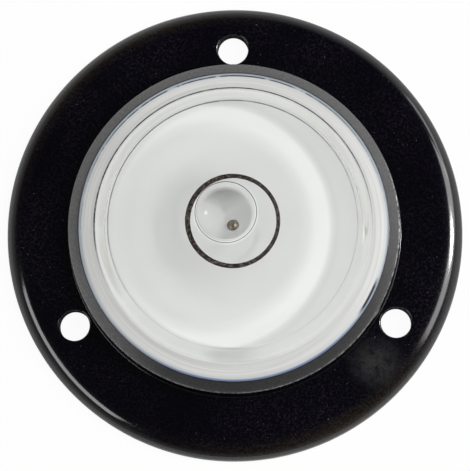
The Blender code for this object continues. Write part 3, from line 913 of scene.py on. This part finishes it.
# %% Spin the target ring and roughen its edges
RING_INSIDE = 5.5
RING_OUTSIDE = 6.09
RING_MIDDLE = (RING_INSIDE + RING_OUTSIDE) / 2
RING_UNEVEN = 0.09
INK_TOP = 0.02
INK_FOOT = 0.005
WANDER = 0.022
WANDER_LENGTH = 0.35
OTHER_LAYER = 7.0

ring_section = [(r, dome_height(r, LENS_TOP, DOME_RADIUS) + lift)
                for r, lift in ((RING_INSIDE, INK_TOP), (RING_OUTSIDE, INK_TOP),
                                (RING_OUTSIDE, INK_FOOT), (RING_INSIDE, INK_FOOT))]
maker = bmesh.new()
spin_outline(maker, ring_section, closed=True, steps=360)
for vert in maker.verts:
    out = math.hypot(vert.co.x, vert.co.y)
    on_inner_edge = out < RING_MIDDLE * MM
    seed = Vector((vert.co.x, vert.co.y, 0.0)) / (WANDER_LENGTH * MM)
    if not on_inner_edge:
        seed.z = OTHER_LAYER
    vert.co.xy *= (out + WANDER * MM * smooth_noise.noise(seed)) / out
    if on_inner_edge:
        vert.co.x += RING_UNEVEN * MM
add_piece(to_mesh(maker, "ring"), "printed_ring", [ink], "target_ring")

# %% [markdown]
# ## The ball that closes the filling hole
# A plated steel ball pressed into the hole in the cup's floor. Only its top shows, through the spirit
# and the bubble. A sphere from bmesh is its true shape. Its finish is dull, brownish metal with a
# tarnish that noise varies.

# %% Make the ball
BALL_RADIUS = 0.7
TARNISH_DARK = (0.27, 0.23, 0.165)
TARNISH_PALE = (0.54, 0.48, 0.38)

plated_steel, tree, shader = new_finish("plated_steel", (0.3, 0.26, 0.19), 0.35, metallic=1.0)
tarnish = ramp(tree, noise(tree, place(tree), 2.2, 3.0, 0.6), [(0.35, 0.0), (0.65, 1.0)])
tree.links.new(blend(tree, tarnish, TARNISH_DARK, TARNISH_PALE), shader.inputs["Base Color"])
maker = bmesh.new()
bmesh.ops.create_uvsphere(maker, u_segments=64, v_segments=32, radius=BALL_RADIUS * MM)
bmesh.ops.translate(maker, verts=maker.verts, vec=(0.0, 0.0, BALL_CENTRE * MM))
add_piece(to_mesh(maker, "ball"), "closing_ball", [plated_steel], "filler_ball")

# %% [markdown]
# ## The floor
# A plain white sheet under the level. The camera, reflections and glass see it as white paper, through
# the Light Path node, and the lamps still leave the level's soft shadow on it. Polish that mirrors the
# paper close to the level sees that shadow, so there the white fades in over a few centimetres.

# %% Mix the white paper
PAPER_WHITE = 0.95
NEAR_THE_LEVEL = [(31.0, 0.12), (60.0, 0.5)]

paper = bpy.data.materials.new("white_paper")
paper.use_nodes = True
tree = paper.node_tree
tree.nodes.remove(tree.nodes["Principled BSDF"])
matte = tree.nodes.new("ShaderNodeBsdfDiffuse")
glow = tree.nodes.new("ShaderNodeEmission")
path = tree.nodes.new("ShaderNodeLightPath")
clear_of_shadow = ramp(tree, round_axis(tree)[0], NEAR_THE_LEVEL, 20.0, 80.0)
mirrored = times(tree, path.outputs["Is Glossy Ray"], clear_of_shadow)
seen = math_node(tree, "MAXIMUM", path.outputs["Is Camera Ray"], mirrored)
seen = math_node(tree, "MAXIMUM", seen, path.outputs["Is Transmission Ray"])
choose = tree.nodes.new("ShaderNodeMixShader")
tree.links.new(times(tree, seen, PAPER_WHITE), choose.inputs[0])
tree.links.new(matte.outputs[0], choose.inputs[1])
tree.links.new(glow.outputs[0], choose.inputs[2])
tree.links.new(choose.outputs[0], tree.nodes["Material Output"].inputs["Surface"])
print(paper.name, len(tree.nodes), "nodes")

# %% Lay the floor
FLOOR_SIZE = 2.0
FLOOR_DROP = 0.02

maker = bmesh.new()
bmesh.ops.create_grid(maker, x_segments=1, y_segments=1, size=FLOOR_SIZE)
bmesh.ops.translate(maker, verts=maker.verts, vec=(0.0, 0.0, -FLOOR_DROP * MM))
floor_mesh = bpy.data.meshes.new("floor")
maker.to_mesh(floor_mesh)
maker.free()
floor_mesh.materials.append(paper)
floor_sheet = bpy.data.objects.new("floor_sheet", floor_mesh)
bpy.context.scene.collection.objects.link(floor_sheet)
print("floor", FLOOR_SIZE * 2, "m wide")

# %% [markdown]
# ## The lamps
# One lamp from the right makes the highlights and the soft shadows. It is split in lamps of the same
# direction from above: the one that polish reflects stands lower, where the real lamp is, and the two
# that light matte surfaces, one soft and one sharp, stand higher, because the spirit bends the real
# light downwards and a lamp's straight ray isn't bent. Three wide panels, two on the right and one at
# the lower left, draw the long highlights on the rim. The real lens hardly mirrors any of that. So
# light linking takes the lens and the bubble out of reach of the shine lamp and the panels, and a
# faint glint lamp shines on the lens alone.

# %% Hang an area lamp by its direction and its apparent size
def hang_lamp(name, azimuth, elevation, width, height, brightness, shape="RECTANGLE", far=0.6):
    """An area lamp of an apparent size in degrees, aimed at the level. Brightness is its radiance."""
    lamp = bpy.data.lights.new(name, "AREA")
    lamp.shape = shape
    lamp.size = 2 * far * math.tan(math.radians(width) / 2)
    lamp.size_y = 2 * far * math.tan(math.radians(height) / 2)
    area = lamp.size * lamp.size_y * (math.pi / 4 if shape == "ELLIPSE" else 1.0)
    lamp.energy = brightness * math.pi * area
    around, above = math.radians(azimuth), math.radians(elevation)
    flat = math.cos(above)
    where = Vector((math.cos(around) * flat, math.sin(around) * flat, math.sin(above)))
    hanger = bpy.data.objects.new(name, lamp)
    hanger.location = where * far
    hanger.rotation_euler = (-where).to_track_quat("-Z", "Y").to_euler()
    bpy.context.scene.collection.objects.link(hanger)
    print(name, round(lamp.energy, 2), "W")
    return hanger


print("lamp helper ready")

# %% Hang the lamps and the panels
LAMP_SIDE = 6
SHINE_ELEVATION = 37
SOFT_ELEVATION = 63
PANEL_FAR = 0.62

shine_lamp = hang_lamp("shine_lamp", LAMP_SIDE, SHINE_ELEVATION, 9, 9, 90.0, "ELLIPSE")
soft_lamp = hang_lamp("soft_lamp", LAMP_SIDE, SOFT_ELEVATION, 44, 44, 4.15, "ELLIPSE")
narrow_lamp = hang_lamp("narrow_lamp", LAMP_SIDE, SOFT_ELEVATION, 8, 8, 17.0, "ELLIPSE")
right_panel = hang_lamp("right_panel", 5, 36, 44, 20, 4.6, far=PANEL_FAR)
right_panel.rotation_euler.rotate_axis("Z", math.radians(-24))
low_panel = hang_lamp("low_panel", 33, 19, 22, 9, 2.8, far=PANEL_FAR)
low_panel.rotation_euler.rotate_axis("Z", math.radians(-15))
left_panel = hang_lamp("left_panel", -151, 37, 38, 13, 5.0, far=PANEL_FAR)
glint_lamp = hang_lamp("glint_lamp", LAMP_SIDE, SHINE_ELEVATION, 12, 9, 5.0, "ELLIPSE")

# %% Say which rays see each lamp, and which pieces it lights
for lamp in (shine_lamp, glint_lamp):
    lamp.visible_diffuse = False
for lamp in (soft_lamp, narrow_lamp):
    lamp.visible_glossy = False
    lamp.visible_transmission = False
clear_pieces = bpy.data.collections.new("clear_pieces")
for piece in (lens, bubble):
    clear_pieces.objects.link(piece)
for entry in clear_pieces.collection_objects:
    entry.light_linking.link_state = "EXCLUDE"
for lamp in (shine_lamp, right_panel, low_panel, left_panel):
    lamp.visible_transmission = False
    lamp.light_linking.receiver_collection = clear_pieces
lens_alone = bpy.data.collections.new("lens_alone")
lens_alone.objects.link(lens)
glint_lamp.visible_transmission = False
glint_lamp.light_linking.receiver_collection = lens_alone

# %% [markdown]
# ## The room
# The world stands for a pale room with a dark ceiling over the camera: the flat flange mirrors the
# ceiling and stays black, and its rounded rim mirrors the walls. A picture of a room would do, but the
# paint shows only broad tones. So a ramp by direction gives the walls, brightest on the right, and a
# smooth step on height gives the dark ceiling.

# %% Light the room
WALLS_BY_TURN = [
    (0.0, 0.5), (0.083, 0.55), (0.15, 0.36), (0.25, 0.26), (0.33, 0.31), (0.42, 0.45), (0.5, 0.9),
    (0.6, 0.92), (0.67, 0.62), (0.75, 0.5), (1.0, 0.5)
]
DARKENS_FROM = 0.08
DARK_FROM = 0.62
CEILING_LIGHT = 0.035

room = bpy.data.worlds.new("room")
bpy.context.scene.world = room
room.use_nodes = True
tree = room.node_tree
direction = tree.nodes.new("ShaderNodeTexCoord")
parts = tree.nodes.new("ShaderNodeSeparateXYZ")
tree.links.new(direction.outputs["Generated"], parts.inputs[0])
walls = ramp(tree, full_turn(tree, parts.outputs["Y"], parts.outputs["X"]), WALLS_BY_TURN)
darkening = tree.nodes.new("ShaderNodeMapRange")
darkening.interpolation_type = "SMOOTHSTEP"
for name, value in (("From Min", DARKENS_FROM), ("From Max", DARK_FROM), ("To Min", 1.0), ("To Max", 0.0)):
    darkening.inputs[name].default_value = value
tree.links.new(parts.outputs["Z"], darkening.inputs["Value"])
walls = times(tree, walls, darkening.outputs["Result"])
background = tree.nodes["Background"]
background.inputs["Color"].default_value = (1.0, 1.0, 1.0, 1.0)
tree.links.new(math_node(tree, "MAXIMUM", walls, CEILING_LIGHT), background.inputs["Strength"])
print(room.name, len(tree.nodes), "nodes")

# %% [markdown]
# ## The camera
# The photograph looks down on the level from 40 cm, tilted 7.3 degrees towards its front and a little
# to the right. That shows in how far each higher circle is moved against the flange.

# %% Place the camera
CAMERA_TILT = math.radians(7.3)
CAMERA_TURN = math.radians(9.0)
CAMERA_ROLL = math.radians(0.45)
CAMERA_FAR = 400.0
PICTURE_WIDTH = 62.25
SENSOR_WIDTH = 36.0
LOOK_AT = Vector((0.02, -0.13, 0.0))

away = Vector((
    math.sin(CAMERA_TURN) * math.sin(CAMERA_TILT),
    -math.cos(CAMERA_TURN) * math.sin(CAMERA_TILT),
    math.cos(CAMERA_TILT),
))
right = Vector((math.sin(CAMERA_ROLL), math.cos(CAMERA_ROLL), 0.0)).cross(away).normalized()
turned_to = Matrix((right, away.cross(right), away)).transposed().to_4x4()
camera_data = bpy.data.cameras.new("camera")
camera_data.sensor_width = SENSOR_WIDTH
camera_data.lens = SENSOR_WIDTH * CAMERA_FAR / PICTURE_WIDTH
camera_data.clip_start = 0.01
camera_data.clip_end = 10.0
camera = bpy.data.objects.new("camera", camera_data)
camera.matrix_world = Matrix.Translation((LOOK_AT + away * CAMERA_FAR) * MM) @ turned_to
bpy.context.scene.collection.objects.link(camera)
bpy.context.scene.camera = camera
bpy.context.scene.view_settings.view_transform = "Standard"
print("focal length", round(camera_data.lens, 1), "mm")
